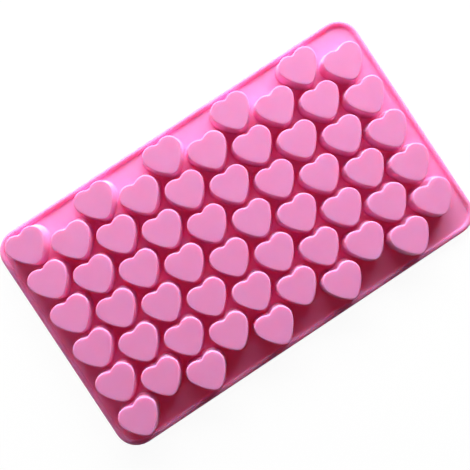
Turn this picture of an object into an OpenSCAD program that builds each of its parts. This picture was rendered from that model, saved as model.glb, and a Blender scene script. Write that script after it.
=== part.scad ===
// Silicone mould for 55 small hearts, lying with its cups upwards: a thin plate with a beaded edge,
// and staggered columns of hollow, drafted heart cups that open through the plate's flat underside.
// All sizes are millimetres. The flat open face is z = 0, the length runs along X, and the tips
// of the hearts point to -Y.

/* [Cup array] */
// Number of columns of cups along the length
columns = 10; // [3:1:12]
// Number of cups in a full column; every second column holds one fewer
rows = 6; // [3:1:8]
// Clear distance between a tip and the lobes of the next cup in its column
row_gap = 1.8; // [1.6:0.1:6]
// How far neighbouring columns nest into each other's width
column_nest = 0.1; // [0:0.1:0.6]

/* [Heart cups] */
// Width across the two lobes, outside, at the top
cup_w = 17.6; // [16:0.1:19]
// Length from the lobes to the tip, outside, at the top
cup_l = 15.7; // [14.5:0.1:18]
// Outer radius of a lobe
lobe_r = 5; // [4.6:0.1:5.6]
// Outer radius of the tip
tip_r = 3.55; // [2.5:0.05:4]
// Outer radius of the gently bowed sides
side_r = 20.6; // [16:0.1:40]
// Outer radius of the hollow between the lobes
notch_r = 1.85; // [1.4:0.05:2.6]
// Wall thickness of a cup
wall_t = 1; // [0.8:0.1:1.6]
// Thickness of a cup's floor
floor_t = 1; // [0.8:0.1:2]
// Draft of the cup walls, in degrees
draft = 4; // [1:0.5:6]
// Size of the softened edge round the top of a cup
edge = 0.9; // [0.4:0.1:1.2]

/* [Plate and rim] */
// Height of the whole mould
mould_h = 10; // [8:0.5:13]
// Thickness of the plate between the cups
plate_t = 1.2; // [1.2:0.1:2]
// Distance from the end columns to the ends of the plate
end_margin = 5.45; // [4:0.05:15]
// Distance from the lobes and tips of the full columns to the long edges
side_margin = 3.4; // [3.2:0.05:12]
// Outer radius of the plate's corners
corner_r = 10; // [4:0.5:14]
// Width of the bead along the edge
rim_w = 2.2; // [1.6:0.1:2.2]
// Height of the bead above the plate
rim_h = 1.1; // [1.1:0.1:3]

/* [Hidden] */
$fn = 64;

// How far the sides and the notch dip inside the lobes and the tip, so that the surfaces cross cleanly
bite = 0.02;
// How far a cutting shape reaches past what it cuts
over = 1;

column_pitch = cup_w - column_nest;
row_pitch = cup_l + row_gap;
plate_l = (columns - 1)*column_pitch + cup_w + 2*end_margin;
plate_w = (rows - 1)*row_pitch + cup_l + 2*side_margin;
corner_x = plate_l/2 - corner_r;
corner_y = plate_w/2 - corner_r;

// Centres of the arcs that make the right half of a heart, from the middle of its width and length
lobe = [cup_w/2 - lobe_r, cup_l/2 - lobe_r];
tip = [0, tip_r - cup_l/2];
side = touching_centre(lobe, side_r - lobe_r, tip, side_r - tip_r);
notch = [0, lobe[1] + sqrt(pow(lobe_r + notch_r, 2) - pow(lobe[0], 2))];

// The centre that lies ra from a and rb from b, on the right of the way from a to b, seen from above
function touching_centre(a, ra, b, rb) =
    let (d = norm(b - a), along = (ra*ra - rb*rb + d*d)/(2*d), across = sqrt(ra*ra - along*along))
    a + (b - a)/d*along + [b[1] - a[1], a[0] - b[0]]/d*across;

// The point that lies d past b on the line from a
function beyond(a, b, d) = b + (b - a)/norm(b - a)*d;

// How far the draft has moved a wall outwards by height z, down from the top
function spread(z) = (mould_h - z)*tan(draft);

// Centres of all the cups; every second column is shifted by half a pitch and holds one cup fewer
function cup_places() = [
    for (c = [0:columns - 1])
        let (n = rows - c%2)
        for (r = [0:n - 1])
            [(c - (columns - 1)/2)*column_pitch, (r - (n - 1)/2)*row_pitch, 0]
];

// A round stub whose radius r at the top of the mould grows downwards with the draft, from z0 to z1,
// with its upper edge cut back by e
module drafted_round(r, z0, z1, e)
    rotate_extrude()
        polygon([[0, z0], [r + spread(z0), z0], [r + spread(z1 - e), z1 - e], [r + spread(z1) - e, z1], [0, z1]]);

// One lobe and one side: the side's large arc is kept between its meeting lines with the lobe and the tip
module half_heart(grow, z0, z1, e) {
    translate([lobe[0], lobe[1], 0])
        rotate([0, 0, 180])
            drafted_round(lobe_r + grow, z0, z1, e);
    intersection() {
        translate([side[0], side[1], 0])
            rotate([0, 0, 180])
                drafted_round(side_r + grow - bite, z0, z1, e);
        translate([0, 0, z0 - over])
            linear_extrude(z1 - z0 + 2*over)
                polygon([tip, beyond(side, tip, 2*tip_r), beyond(side, lobe, 2*lobe_r), lobe, [0, lobe[1]]]);
    }
}

// The web between the lobes, hollowed to the notch's radius
module notch_web(grow, z0, z1, e) {
    r = notch_r - grow + bite;
    difference() {
        translate([0, 0, z0])
            linear_extrude(z1 - z0)
                polygon([[-lobe[0], lobe[1]], lobe, notch]);
        translate([notch[0], notch[1], 0])
            rotate([0, 0, 90])
                rotate_extrude()
                    polygon([
                        [0, z0 - over],
                        [r - spread(z0 - over), z0 - over],
                        [r - spread(z1 - e), z1 - e],
                        [r - spread(z1) + e, z1],
                        [r - spread(z1) + e + over, z1 + over],
                        [0, z1 + over]
                    ]);
    }
}

// A drafted heart from z0 to z1; grow moves its whole outline outwards from the cup's outer one
module heart(grow, z0, z1, e) {
    half_heart(grow, z0, z1, e);
    mirror([1, 0, 0]) half_heart(grow, z0, z1, e);
    translate([tip[0], tip[1], 0])
        rotate([0, 0, 90])
            drafted_round(tip_r + grow, z0, z1, e);
    notch_web(grow, z0, z1, e);
}

// One cup's outside, standing out of the plate
module cup_outside() heart(0, plate_t/2, mould_h, edge);

// One cup's hollow, open through the underside of the plate
module cup_hollow() heart(-wall_t, -over, mould_h - floor_t, 0);

// The plate as far as the middle of the bead, with round corners
module plate() {
    inset = rim_w/2;
    linear_extrude(plate_t) {
        square([plate_l - 2*inset, plate_w - 2*corner_r], center = true);
        square([plate_l - 2*corner_r, plate_w - 2*inset], center = true);
        for (x = [-corner_x, corner_x], y = [-corner_y, corner_y])
            translate([x, y]) circle(corner_r - inset);
    }
}

// Section of the bead at a distance from a corner's centre: upright sides and a half-round crest
module bead_section() {
    crest = plate_t + rim_h - rim_w/2;
    translate([corner_r - rim_w, 0]) square([rim_w, crest]);
    translate([corner_r - rim_w/2, crest]) circle(rim_w/2);
}

// The bead: four straight stretches and four quarter turns
module rim() {
    for (turn = [0, 180]) rotate([0, 0, turn]) {
        translate([corner_x, corner_y, 0]) rotate([90, 0, 0]) linear_extrude(2*corner_y) bead_section();
        translate([-corner_x, corner_y, 0]) rotate([90, 0, 90]) linear_extrude(2*corner_x) bead_section();
    }
    for (sx = [0, 1], sy = [0, 1])
        mirror([sx, 0, 0]) mirror([0, sy, 0])
            translate([corner_x, corner_y, 0]) rotate_extrude(angle = 90) bead_section();
}

// The whole moulding, coloured as pink silicone
module mould() {
    color([0.93, 0.55, 0.75])
        difference() {
            union() {
                plate();
                rim();
                for (place = cup_places()) translate(place) cup_outside();
            }
            for (place = cup_places()) translate(place) cup_hollow();
        }
}

mould();
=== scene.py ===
import math

import bmesh
import bpy
import numpy as np
from mathutils import Matrix, Vector


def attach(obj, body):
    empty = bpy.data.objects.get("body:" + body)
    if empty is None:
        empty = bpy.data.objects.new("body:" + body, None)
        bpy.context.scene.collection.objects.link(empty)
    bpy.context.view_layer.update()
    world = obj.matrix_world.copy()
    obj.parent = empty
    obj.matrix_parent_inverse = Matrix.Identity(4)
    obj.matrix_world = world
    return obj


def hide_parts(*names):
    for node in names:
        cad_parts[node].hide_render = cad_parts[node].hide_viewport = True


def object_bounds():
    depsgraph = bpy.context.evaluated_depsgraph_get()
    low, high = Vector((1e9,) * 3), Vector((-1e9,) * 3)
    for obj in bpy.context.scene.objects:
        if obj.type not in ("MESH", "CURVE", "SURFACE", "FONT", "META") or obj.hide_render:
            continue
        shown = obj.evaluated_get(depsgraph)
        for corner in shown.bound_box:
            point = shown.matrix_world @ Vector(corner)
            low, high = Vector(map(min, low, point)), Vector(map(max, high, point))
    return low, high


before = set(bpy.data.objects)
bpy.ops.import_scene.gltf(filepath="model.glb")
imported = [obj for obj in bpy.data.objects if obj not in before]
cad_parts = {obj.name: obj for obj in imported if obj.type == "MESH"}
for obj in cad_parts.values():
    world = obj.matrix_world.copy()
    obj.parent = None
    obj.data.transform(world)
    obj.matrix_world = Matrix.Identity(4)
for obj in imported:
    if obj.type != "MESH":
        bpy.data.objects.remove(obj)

cad_low, cad_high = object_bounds()

# Camera. The photograph looks down on the mould from 0.31 m above the floors of its cups, one degree off
# the plumb line, and turned so that the length rises to the right. Its picture is square.
picture_pixels = 470
focal_pixels = 716.9
above_cups = 0.3069
plumb_point = Vector((-0.00196, -0.00042, 0.010))
camera_turn = (
    Matrix.Rotation(math.radians(-0.061), 3, "X")
    @ Matrix.Rotation(math.radians(-1.155), 3, "Y")
    @ Matrix.Rotation(math.radians(-33.485), 3, "Z")
)
camera_place = plumb_point + camera_turn @ Vector((0, 0, above_cups))
camera_data = bpy.data.cameras.new("camera")
camera_data.sensor_width = 36
camera_data.lens = camera_data.sensor_width*focal_pixels/picture_pixels
camera = bpy.data.objects.new("camera", camera_data)
camera.matrix_world = Matrix.Translation(camera_place) @ camera_turn.to_4x4()
bpy.context.scene.collection.objects.link(camera)
bpy.context.scene.camera = camera

# Moulding. The real piece is one pressing of pink silicone: a thin plate with a beaded edge, and 55 hollow
# heart cups that stand out of it in staggered columns. Every inner corner has a small moulded radius, and
# the upper edges of the cups are softened. Sizes are in millimetres up to the mesh.
columns, rows, pitch = 10, 6, 17.5
half_length, half_width, mould_height = (round(1000*reach, 3) for reach in cad_high)
corner_radius = 10.0
plate_thickness, cup_wall, cup_floor = 1.2, 1.0, 1.0
draft_angle = math.radians(4)
steps = 10  # steps along half of each side of a cup's cell

# A heart's outline at the top is a chain of arcs that touch: the notch between the lobes, a lobe, a side
# and the tip, and their mirror images
cup_width, cup_length = 17.6, 15.7
notch_radius, lobe_radius, side_radius, tip_radius = 1.85, 5.0, 20.6, 3.55


def touching_centre(a, reach_a, b, reach_b):
    """The point that lies reach_a from a and reach_b from b, on the right of the way from a to b. With d the
    length of that way, it lies (reach_a^2 - reach_b^2 + d^2)/(2 d) along it, and the root of reach_a^2 less
    the square of that beside it."""
    way = b - a
    length = np.linalg.norm(way)
    along = (reach_a**2 - reach_b**2 + length**2)/(2*length)
    beside = math.sqrt(reach_a**2 - along**2)
    return a + (way*along + np.array([way[1], -way[0]])*beside)/length


lobe_centre = np.array([cup_width/2 - lobe_radius, cup_length/2 - lobe_radius])
tip_centre = np.array([0, tip_radius - cup_length/2])
notch_above_lobe = math.sqrt((lobe_radius + notch_radius)**2 - lobe_centre[0]**2)
notch_centre = np.array([0, lobe_centre[1] + notch_above_lobe])
side_centre = touching_centre(lobe_centre, side_radius - lobe_radius, tip_centre, side_radius - tip_radius)


def bearing(a, b):
    """Angle of the line from a to b."""
    return math.atan2(b[1] - a[1], b[0] - a[0])


def arc(centre, radius, start, end, count, outwards=1):
    """Points centre + radius*(cos t, sin t) for count angles t from start towards end, and their normals."""
    t = np.linspace(start, end, count, endpoint=False)
    ray = np.column_stack([np.cos(t), np.sin(t)])
    return centre + radius*ray, outwards*ray


def heart_outline():
    """The closed outline and its normals, clockwise from the middle of the notch: the right half's arcs end
    to end, the tip, and the right half mirrored and taken backwards. The cell round the cup has its corners
    beside the lobe and beside the side, and the outline has as many points between them as the cell has."""
    notch_end = bearing(notch_centre, lobe_centre)
    lobe_end = bearing(side_centre, lobe_centre)
    tip_start = bearing(side_centre, tip_centre)
    lobe_corner, side_corner = math.radians(71.6), math.radians(-44.3)
    notch_points, lobe_points, tip_points = 4, 12, 6
    arcs = [
        arc(notch_centre, notch_radius, -math.pi/2, notch_end, notch_points, -1),
        arc(lobe_centre, lobe_radius, notch_end + math.pi, lobe_corner, steps - notch_points),
        arc(lobe_centre, lobe_radius, lobe_corner, lobe_end, lobe_points),
        arc(side_centre, side_radius, lobe_end, side_corner, 2*steps - lobe_points),
        arc(side_centre, side_radius, side_corner, tip_start, steps - tip_points),
        arc(tip_centre, tip_radius, tip_start, -math.pi/2, tip_points),
    ]
    points = np.vstack([a[0] for a in arcs] + [tip_centre - [0, tip_radius]])
    normals = np.vstack([a[1] for a in arcs] + [[0, -1]])
    mirror = np.array([-1, 1])
    return np.vstack([points, mirror*points[-2:0:-1]]), np.vstack([normals, mirror*normals[-2:0:-1]])


outline, outward = heart_outline()
around = len(outline)

# The plate is laid out in cells, one round each cup. Wavy seams run between the columns, and rungs between
# the cups of a column, so that every cup's surfaces end on points that its neighbours share.
seam_wave = 1.93  # how far a seam swings to either side, to pass round the lobes
seam_crest = 2.61  # how far above a cup's middle it has swung furthest
rung_rise = 1.55  # how far above the middle between two cups a rung starts at the seams
rung_dip, rung_half, rung_power = 2.1, 6.9, 0.85  # depth, half width and sharpness of its dip
edge_gap = 2.5  # how far inside the plate's edge the cells end and the border begins
side_limit, top_limit = half_length - edge_gap, half_width - edge_gap
corner_reach = corner_radius - edge_gap
corner_share = math.radians(75)  # how far round a corner the end seams go at their upper end
bead_width = 2.2
bead_foot, bead_foot_rise = 1.2, 0.35  # width and height of the hollow curve between plate and bead
bead_crest = 0.75  # height of the bead above that curve


def at_height(xy, z):
    """The points xy with the height z added."""
    return np.concatenate([xy, np.broadcast_to(np.asarray(z, float), xy.shape[:-1])[..., None]], axis=-1)


def column_middle(column):
    """x of a column's middle: its number, counted from the middle of all, times the pitch."""
    return (column - (columns - 1)/2)*pitch


def seam_level(j):
    """y of seam point j: half a pitch for as many points as there are steps, from a rung's start below the
    first cup."""
    return -(rows*pitch)/2 + rung_rise + j*pitch/2/steps


def seam_points():
    """x = the middle between two columns + a cosine wave that passes round the lobes, and y = the seam's
    level, where the last steps are drawn in to end beside the bead. The two end seams follow the bead, and
    take the greater part of the corners beside the cup at their upper end."""
    y = seam_level(np.arange(2*rows*steps + 1))
    start = y[-1 - steps]
    y = np.where(y > start, start + (y - start)*(top_limit - start)/(y[-1] - start), y)
    k = np.arange(columns + 1)[:, None]
    first_cup = -(rows - 1)*pitch/2
    wave = seam_wave*np.cos(2*np.pi*(y - first_cup - seam_crest)/pitch)
    x = (k - columns/2)*pitch - (-1.0)**k*wave
    y = np.broadcast_to(y, x.shape).copy()
    turn = np.arcsin(np.clip(np.abs(y[0]) - (top_limit - corner_reach), 0, corner_reach)/corner_reach)
    turn[-steps - 1:] = np.linspace(turn[-steps - 1], corner_share, steps + 1)
    x[-1] = side_limit - corner_reach*(1 - np.cos(turn))
    x[0] = -x[-1]
    y[[0, -1], -steps:] = top_limit - corner_reach*(1 - np.sin(turn[-steps:]))
    return np.stack([x, y], axis=-1)


def cells_end(x):
    """The greatest y of the cells at x: they fill a rounded rectangle that lies edge_gap inside the plate's
    edge, so this is its straight side, less the sagitta of the corner's circle past its centre."""
    past = np.clip(np.abs(x) - (side_limit - corner_reach), 0, corner_reach)
    return top_limit - corner_reach + np.sqrt(corner_reach**2 - past**2)


def from_core(p):
    """The nearest points of the rectangle that joins the corners' centres, the ways from there to p, and
    their lengths."""
    reach = np.array([half_length, half_width]) - corner_radius
    core = np.clip(p, -reach, reach)
    far = np.linalg.norm(p - core, axis=-1)
    return core, p - core, far


def plate_top(inside):
    """Height of the plate's upper face at a distance inside its edge: it rises in a quarter ellipse to the
    bead."""
    into_foot = np.clip((bead_width + bead_foot - inside)/bead_foot, 0, 1)
    return plate_thickness + bead_foot_rise*(1 - np.sqrt(1 - into_foot**2))


def on_plate(p):
    """The points p on the plate's upper face."""
    return at_height(p, plate_top(corner_radius - from_core(p)[2]))


rung_spacing = np.linspace(-1, 1, 2*steps + 1)*np.abs(np.linspace(-1, 1, 2*steps + 1))


def rung_points(column, j, dips):
    """The points across one column at seam point j: closer together near the middle, where the rung dips
    between a tip and the notch below it by a raised cosine."""
    left, right = seams[column, j], seams[column + 1, j]
    middle = column_middle(column)
    x = np.where(rung_spacing < 0, middle - left[0], right[0] - middle)*rung_spacing
    dip = rung_dip*(1 + np.cos(np.pi*np.clip(np.abs(x)/rung_half, 0, 1)**rung_power))/2
    limit = cells_end(middle + x)
    return np.column_stack([middle + x, np.clip(seam_level(j) - dips*dip, -limit, limit)])


# Every second column has one cup fewer, and half a cell without a cup at either end
seams = seam_points()
seam_end = 2*rows*steps
cell_edges, cup_places, half_cells, bottom_rungs, top_rungs = [], [], [], [], []
for column in range(columns):
    fewer = column % 2
    left, right = seams[column], seams[column + 1]
    rungs = {j: rung_points(column, j, True) for j in range(fewer*steps, seam_end + 1, 2*steps)}
    if fewer:
        rungs[0] = rung_points(column, 0, False)
        rungs[seam_end] = rung_points(column, seam_end, False)
        for low, high in ((0, steps), (seam_end - steps, seam_end)):
            half_cells.append((rungs[low], rungs[high], left[low:high + 1], right[low:high + 1]))
    bottom_rungs.append(rungs[0])
    top_rungs.append(rungs[seam_end])
    for row in range(rows - fewer):
        low = (2*row + fewer)*steps
        high = low + 2*steps
        bottom, top = rungs[low], rungs[high]
        down_right, up_left = right[high:low:-1], left[low:high]
        cell_edges.append(np.vstack([top[steps:-1], down_right, bottom[:0:-1], up_left, top[:steps]]))
        cup_places.append((column_middle(column), (row - (rows - 1 - fewer)/2)*pitch))
cell_edges = np.array(cell_edges)
cup_places = np.array(cup_places)


def cup_ring(offset, z):
    """One ring of every cup: the outline moved outwards by offset along its normals, at height z. Both may
    differ from point to point."""
    offset = np.broadcast_to(np.asarray(offset, float), (len(cup_places), around))
    return at_height(cup_places[:, None] + outline + outward*offset[..., None], z)


def drafted(z, thickness=0.0):
    """How far outside the top outline the wall lies at height z: the depth below the top times the tangent
    of the draft, less the thickness where the wall's inner face is meant."""
    return (mould_height - z)*math.tan(draft_angle) - thickness


def round_rings(radius, z, side, start, end, count, thickness=0.0):
    """Rings of a round that touches the drafted wall on its outer side (1) or inner side (-1). Its centre
    lies at height z and radius/cos(draft) beside the wall, and each ring radius*(cos t, sin t) from it, for
    count angles t from start to end."""
    centre = drafted(z, thickness) + side*radius/math.cos(draft_angle)
    angles = np.linspace(start, end, count)
    return [cup_ring(centre + radius*np.cos(t), z + radius*np.sin(t)) for t in angles]


def room_beside_cups():
    """Shortest way from each outline point at the plate to its cell's edge, which is cut into quarter steps
    for this."""
    cuts = 4
    share = np.arange(cuts)/cuts
    following = np.roll(cell_edges, -1, axis=1)
    fine = cell_edges[:, :, None] + (following - cell_edges)[:, :, None]*share[:, None]
    fine = fine.reshape(len(cell_edges), -1, 2)
    foot = cup_ring(drafted(plate_thickness), 0)[..., :2]
    return np.array([np.linalg.norm(f[:, None] - e[None], axis=-1).min(axis=1) for f, e in zip(foot, fine)])


def cup_rings():
    """The rings of the cups' upper sheets, from the middle of the floor over the softened edge, down the
    wall and its foot to the cell's edge, and those of their lower sheets, from there up the hollow to the
    middle of its floor. The foot's radius is the largest, or less where its share of the room to the cell's
    edge is less."""
    edge_radius, mouth_radius, inner_radius = 0.45, 0.3, 0.5
    largest_foot, foot_share = 0.6, 0.6
    floor_inset = 1.25
    edge_rings, foot_rings, hollow_rings = 5, 4, 3
    up, flat, down = np.pi/2, np.pi, 3*np.pi/2
    foot_radius = np.minimum(largest_foot, foot_share*room_beside_cups())
    foot_level = on_plate(cup_ring(drafted(plate_thickness) + foot_radius, 0)[..., :2])[..., 2]
    inner_level = mould_height - cup_floor - inner_radius
    upper = [
        cup_ring(-floor_inset, mould_height),
        *round_rings(edge_radius, mould_height - edge_radius, -1, up, draft_angle, edge_rings),
        *round_rings(foot_radius, foot_level + foot_radius, 1, flat + draft_angle, down, foot_rings),
        on_plate(cell_edges),
    ]
    lower = [
        at_height(cell_edges, 0),
        *round_rings(mouth_radius, mouth_radius, 1, down, flat + draft_angle, hollow_rings, cup_wall),
        *round_rings(inner_radius, inner_level, -1, draft_angle, up, hollow_rings, cup_wall),
    ]
    return np.stack(upper, axis=1), np.stack(lower, axis=1)


moulding_points, moulding_quads, moulding_triangles = [], [], []


def add_surface(points, quads, triangles=None):
    """Adds a surface to the moulding. Its faces number its own points from 0, and are moved on by the number
    of points that are there already."""
    first = sum(len(added) for added in moulding_points)
    moulding_points.append(points.reshape(-1, 3))
    moulding_quads.append(first + quads)
    if triangles is not None:
        moulding_triangles.append(first + triangles)


def strips(ring_count, ring_size):
    """Quads between neighbouring closed rings whose points are numbered one after another: each joins a
    point and the next one of its ring with the same two of the ring that follows."""
    k = np.arange(ring_count - 1)[:, None]*ring_size
    i = np.arange(ring_size)[None]
    n = (i + 1) % ring_size
    return np.stack([k + i, k + n, k + ring_size + n, k + ring_size + i], axis=-1).reshape(-1, 4)


def add_cup_sheet(rings, pole, closing, turn):
    """Adds one sheet of a cup: quads between its rings, and triangles between the pole in the middle of its
    floor and the ring numbered closing, taken forwards (1) or backwards (-1), so that they face outwards."""
    i = np.arange(around)
    ring = closing*around + np.column_stack([i, (i + 1) % around])[:, ::turn]
    triangles = np.column_stack([np.full(around, len(rings)*around), ring])
    add_surface(np.vstack([rings.reshape(-1, 3), pole]), strips(len(rings), around), triangles)


def beside_bead(rings):
    """The rings of a cup's upper sheet. Where its cell's edge comes within the margin of the border, three
    more are put at shares of the way from the foot to that edge, so that they follow the plate's rise."""
    margin, shares = 1.0, (0.3, 0.55, 0.75)
    foot, edge = rings[-2, :, :2], rings[-1, :, :2]
    if from_core(edge)[2].max() <= corner_reach - margin:
        return rings
    between = [on_plate(foot + share*(edge - foot))[None] for share in shares]
    return np.concatenate([rings[:-1], *between, rings[-1:]])


upper_rings, lower_rings = cup_rings()
for place, rings in zip(cup_places, upper_rings):
    add_cup_sheet(beside_bead(rings), [*place, mould_height], 0, -1)
for place, rings in zip(cup_places, lower_rings):
    add_cup_sheet(rings, [*place, mould_height - cup_floor], len(rings) - 1, 1)


def half_cell(lower, upper, left, right):
    """A patch between two rungs and two seams: the straight blend of the rungs, moved so that its ends lie
    on the seams."""
    v = np.linspace(0, 1, len(left))[:, None, None]
    u = ((1 + rung_spacing)/2)[None, :, None]
    blend = (1 - v)*lower + v*upper
    return blend + (1 - u)*(left[:, None] - blend[:, :1]) + u*(right[:, None] - blend[:, -1:])


for sides in half_cells:
    patch = half_cell(*sides)
    high, wide = patch.shape[:2]
    k, i = np.meshgrid(np.arange(high - 1)*wide, np.arange(wide - 1), indexing="ij")
    faces = np.stack([k + i, k + i + 1, k + wide + i + 1, k + wide + i], axis=-1).reshape(-1, 4)
    add_surface(on_plate(patch), faces)
    add_surface(at_height(patch, 0), faces[:, ::-1])


def without_repeats(line):
    """The points of a line, less those that repeat the one before them."""
    return line[np.r_[True, np.any(np.diff(line, axis=0), axis=1)]]


def bead_rings():
    """The border, from the cells' outer edge over the bead and round the plate's lower edge back to the
    cells' edge: every ring lies at its own distance inside the plate's edge, measured square to it."""
    lower_edge = 0.4
    foot_steps, crest_steps, lower_steps = 4, 8, 2
    middle, spring = bead_width/2, plate_thickness + bead_foot_rise
    top, bottom = without_repeats(np.vstack(top_rungs)), without_repeats(np.vstack(bottom_rungs))
    core, away, far = from_core(np.vstack([top[:-1], seams[-1, :0:-1], bottom[:0:-1], seams[0, :-1]]))
    square_out = away/far[:, None]
    cells_inside = corner_radius - far
    profile = []
    for t in np.linspace(0, np.pi/2, foot_steps + 1):
        inside = bead_width + (cells_inside - bead_width)*(1 - np.sin(t))
        profile.append((inside, plate_top(inside)))
    for t in np.linspace(0, np.pi, crest_steps + 1)[1:]:
        profile.append((middle*(1 + np.cos(t)), spring + bead_crest*np.sin(t)))
    for t in np.linspace(0, np.pi/2, lower_steps + 1):
        profile.append((lower_edge*(1 - np.cos(t)), lower_edge*(1 - np.sin(t))))
    profile.append((cells_inside, 0))
    rings = []
    for inside, z in profile:
        out = corner_radius - np.broadcast_to(inside, far.shape)
        rings.append(at_height(core + square_out*out[:, None], z))
    return np.stack(rings)


border = bead_rings()
add_surface(border, strips(len(border), border.shape[1]))

weld_distance = 2e-6
moulding_faces = np.vstack(moulding_quads).tolist() + np.vstack(moulding_triangles).tolist()
moulding_mesh = bpy.data.meshes.new("moulding")
moulding_mesh.from_pydata(np.vstack(moulding_points)/1000, [], moulding_faces)
welded = bmesh.new()
welded.from_mesh(moulding_mesh)
bmesh.ops.remove_doubles(welded, verts=welded.verts, dist=weld_distance)
welded.to_mesh(moulding_mesh)
welded.free()
moulding_mesh.polygons.foreach_set("use_smooth", np.ones(len(moulding_mesh.polygons), bool))
moulding = bpy.data.objects.new("moulding", moulding_mesh)
bpy.context.scene.collection.objects.link(moulding)
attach(moulding, "root")
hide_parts("mould")


def silicone_surface():
    """Node group: a faint mottling of the colour over centimetres, and a satin pressing's fine grain."""
    group = bpy.data.node_groups.new("silicone surface", "ShaderNodeTree")
    group.interface.new_socket("Colour", in_out="INPUT", socket_type="NodeSocketColor")
    group.interface.new_socket("Colour", in_out="OUTPUT", socket_type="NodeSocketColor")
    group.interface.new_socket("Roughness", in_out="OUTPUT", socket_type="NodeSocketFloat")
    group.interface.new_socket("Height", in_out="OUTPUT", socket_type="NodeSocketFloat")
    nodes, links = group.nodes, group.links
    given = nodes.new("NodeGroupInput")
    put_out = nodes.new("NodeGroupOutput")
    place = nodes.new("ShaderNodeTexCoord")
    mottle = nodes.new("ShaderNodeTexNoise")
    mottle.inputs["Scale"].default_value = 90
    mottle.inputs["Detail"].default_value = 3
    links.new(place.outputs["Object"], mottle.inputs["Vector"])
    tone = nodes.new("ShaderNodeMapRange")
    tone.inputs["To Min"].default_value = 0.96
    tone.inputs["To Max"].default_value = 1.04
    links.new(mottle.outputs["Fac"], tone.inputs["Value"])
    shade = nodes.new("ShaderNodeHueSaturation")
    links.new(given.outputs["Colour"], shade.inputs["Color"])
    links.new(tone.outputs["Result"], shade.inputs["Value"])
    links.new(shade.outputs["Color"], put_out.inputs["Colour"])
    satin = nodes.new("ShaderNodeMapRange")
    satin.inputs["To Min"].default_value = 0.54
    satin.inputs["To Max"].default_value = 0.66
    links.new(mottle.outputs["Fac"], satin.inputs["Value"])
    links.new(satin.outputs["Result"], put_out.inputs["Roughness"])
    grain = nodes.new("ShaderNodeTexNoise")
    grain.inputs["Scale"].default_value = 2500
    grain.inputs["Detail"].default_value = 2
    links.new(place.outputs["Object"], grain.inputs["Vector"])
    links.new(grain.outputs["Fac"], put_out.inputs["Height"])
    return group


def pink_silicone():
    """Satin pink silicone, into which light sinks by millimetres: red the furthest, so that the thin walls
    and the gaps between the cups glow red."""
    material = bpy.data.materials.new("pink silicone")
    material.use_nodes = True
    nodes, links = material.node_tree.nodes, material.node_tree.links
    shader = nodes["Principled BSDF"]
    surface = nodes.new("ShaderNodeGroup")
    surface.node_tree = silicone_surface()
    surface.inputs["Colour"].default_value = (0.985, 0.315, 0.59, 1)
    bump = nodes.new("ShaderNodeBump")
    bump.inputs["Strength"].default_value = 0.15
    bump.inputs["Distance"].default_value = 0.00004
    links.new(surface.outputs["Colour"], shader.inputs["Base Color"])
    links.new(surface.outputs["Roughness"], shader.inputs["Roughness"])
    links.new(surface.outputs["Height"], bump.inputs["Height"])
    links.new(bump.outputs["Normal"], shader.inputs["Normal"])
    shader.inputs["Subsurface Weight"].default_value = 1.0
    shader.inputs["Subsurface Radius"].default_value = (2.0, 0.85, 0.8)
    shader.inputs["Subsurface Scale"].default_value = 0.0013
    shader.inputs["IOR"].default_value = 1.41
    shader.inputs["Specular IOR Level"].default_value = 0.1
    return material


moulding.data.materials.append(pink_silicone())

# Table. A plain white table lies a hair under the mould and keeps its shadow. It glows a little, for the
# light that a real one throws into the thin silicone from below and that few bounces would lose.
table_reach, table_z = 3.0, -0.00003
table_corners = [(-1, -1), (1, -1), (1, 1), (-1, 1)]
table_points = [(table_reach*x, table_reach*y, table_z) for x, y in table_corners]
table_mesh = bpy.data.meshes.new("table")
table_mesh.from_pydata(table_points, [], [(0, 1, 2, 3)])
table = bpy.data.objects.new("table", table_mesh)
bpy.context.scene.collection.objects.link(table)


def white_rays(nodes, links, reflected=None):
    """1 for the rays that show the white surroundings: those of the camera, of reflections and of clear
    parts. Where reflected is given, the last two kinds are scaled by it."""
    path = nodes.new("ShaderNodeLightPath")
    mirrored = nodes.new("ShaderNodeMath")
    mirrored.operation = "MAXIMUM"
    links.new(path.outputs["Is Glossy Ray"], mirrored.inputs[0])
    links.new(path.outputs["Is Transmission Ray"], mirrored.inputs[1])
    if reflected:
        scaled = nodes.new("ShaderNodeMath")
        scaled.operation = "MULTIPLY"
        links.new(mirrored.outputs["Value"], scaled.inputs[0])
        links.new(reflected, scaled.inputs[1])
        mirrored = scaled
    either = nodes.new("ShaderNodeMath")
    either.operation = "MAXIMUM"
    links.new(path.outputs["Is Camera Ray"], either.inputs[0])
    links.new(mirrored.outputs["Value"], either.inputs[1])
    return either.outputs["Value"]


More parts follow.
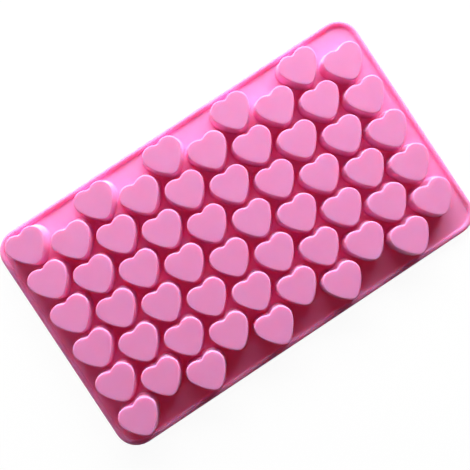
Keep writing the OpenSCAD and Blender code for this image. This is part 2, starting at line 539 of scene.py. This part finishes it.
def white_table():
    """Matt white paint. Near the mould, what shows is nearly all plain white, with a little of the lit
    paint, which holds the shadow; from a quarter of a metre away it is all white."""
    material = bpy.data.materials.new("white table")
    material.use_nodes = True
    nodes, links = material.node_tree.nodes, material.node_tree.links
    matt = nodes["Principled BSDF"]
    matt.inputs["Base Color"].default_value = (0.93, 0.93, 0.93, 1)
    matt.inputs["Roughness"].default_value = 0.8
    matt.inputs["Specular IOR Level"].default_value = 0.2
    matt.inputs["Emission Color"].default_value = (1, 1, 1, 1)
    matt.inputs["Emission Strength"].default_value = 0.2
    place = nodes.new("ShaderNodeTexCoord")
    away = nodes.new("ShaderNodeVectorMath")
    away.operation = "LENGTH"
    links.new(place.outputs["Object"], away.inputs[0])
    fade = nodes.new("ShaderNodeMapRange")
    fade.inputs["From Min"].default_value = 0.10
    fade.inputs["From Max"].default_value = 0.25
    fade.inputs["To Min"].default_value = 0.93
    fade.inputs["To Max"].default_value = 1.0
    links.new(away.outputs["Value"], fade.inputs["Value"])
    share = nodes.new("ShaderNodeMath")
    share.operation = "MULTIPLY"
    links.new(white_rays(nodes, links), share.inputs[0])
    links.new(fade.outputs["Result"], share.inputs[1])
    white = nodes.new("ShaderNodeEmission")
    mixed = nodes.new("ShaderNodeMixShader")
    links.new(share.outputs["Value"], mixed.inputs["Fac"])
    links.new(matt.outputs["BSDF"], mixed.inputs[1])
    links.new(white.outputs["Emission"], mixed.inputs[2])
    links.new(mixed.outputs["Shader"], nodes["Material Output"].inputs["Surface"])
    return material


table_mesh.materials.append(white_table())

# Room and lamps. One large soft light stands low beyond the photograph's upper edge, and a weak one to its
# left. The room is dim overhead and paler near the horizon. It shows white to the camera, but in
# reflections only its low part is white.


def studio_room():
    """World whose light goes from dim, above the ring's top, to pale, below its bottom, with the sine of the
    elevation."""
    ring_top, ring_bottom = math.radians(10), math.radians(4)
    world = bpy.data.worlds.new("studio")
    world.use_nodes = True
    nodes, links = world.node_tree.nodes, world.node_tree.links
    dim = nodes["Background"]
    dim.inputs["Color"].default_value = (1, 1, 1, 1)
    bright = nodes.new("ShaderNodeBackground")
    bright.inputs["Color"].default_value = (1, 1, 1, 1)
    way = nodes.new("ShaderNodeTexCoord")
    parts = nodes.new("ShaderNodeSeparateXYZ")
    links.new(way.outputs["Generated"], parts.inputs["Vector"])
    low = nodes.new("ShaderNodeMapRange")
    low.inputs["From Min"].default_value = math.sin(ring_top)
    low.inputs["From Max"].default_value = math.sin(ring_bottom)
    links.new(parts.outputs["Z"], low.inputs["Value"])
    ring = nodes.new("ShaderNodeMapRange")
    ring.inputs["To Min"].default_value = 0.02
    ring.inputs["To Max"].default_value = 0.4
    links.new(low.outputs["Result"], ring.inputs["Value"])
    links.new(ring.outputs["Result"], dim.inputs["Strength"])
    mixed = nodes.new("ShaderNodeMixShader")
    links.new(white_rays(nodes, links, low.outputs["Result"]), mixed.inputs["Fac"])
    links.new(dim.outputs["Background"], mixed.inputs[1])
    links.new(bright.outputs["Background"], mixed.inputs[2])
    links.new(mixed.outputs["Shader"], nodes["World Output"].inputs["Surface"])
    return world


def soft_light(name, azimuth, elevation, distance, size, watts):
    """A rectangular area light that looks at the mould from a direction given in degrees; azimuth turns from
    +X towards +Y."""
    lamp = bpy.data.lights.new(name, "AREA")
    lamp.shape = "RECTANGLE"
    lamp.size, lamp.size_y = size
    lamp.energy = watts
    a, e = math.radians(azimuth), math.radians(elevation)
    way = Vector((math.cos(e)*math.cos(a), math.cos(e)*math.sin(a), math.sin(e)))
    turn = way.to_track_quat("Z", "Y").to_matrix().to_4x4()
    lamp_object = bpy.data.objects.new(name, lamp)
    lamp_object.matrix_world = Matrix.Translation(way*distance) @ turn
    bpy.context.scene.collection.objects.link(lamp_object)


bpy.context.scene.world = studio_room()
soft_light("window", azimuth=60, elevation=23, distance=0.8, size=(1.15, 0.36), watts=21.2)
soft_light("wall", azimuth=166, elevation=18, distance=0.95, size=(0.7, 0.4), watts=0.7)

bpy.context.scene.view_settings.view_transform = "Standard"
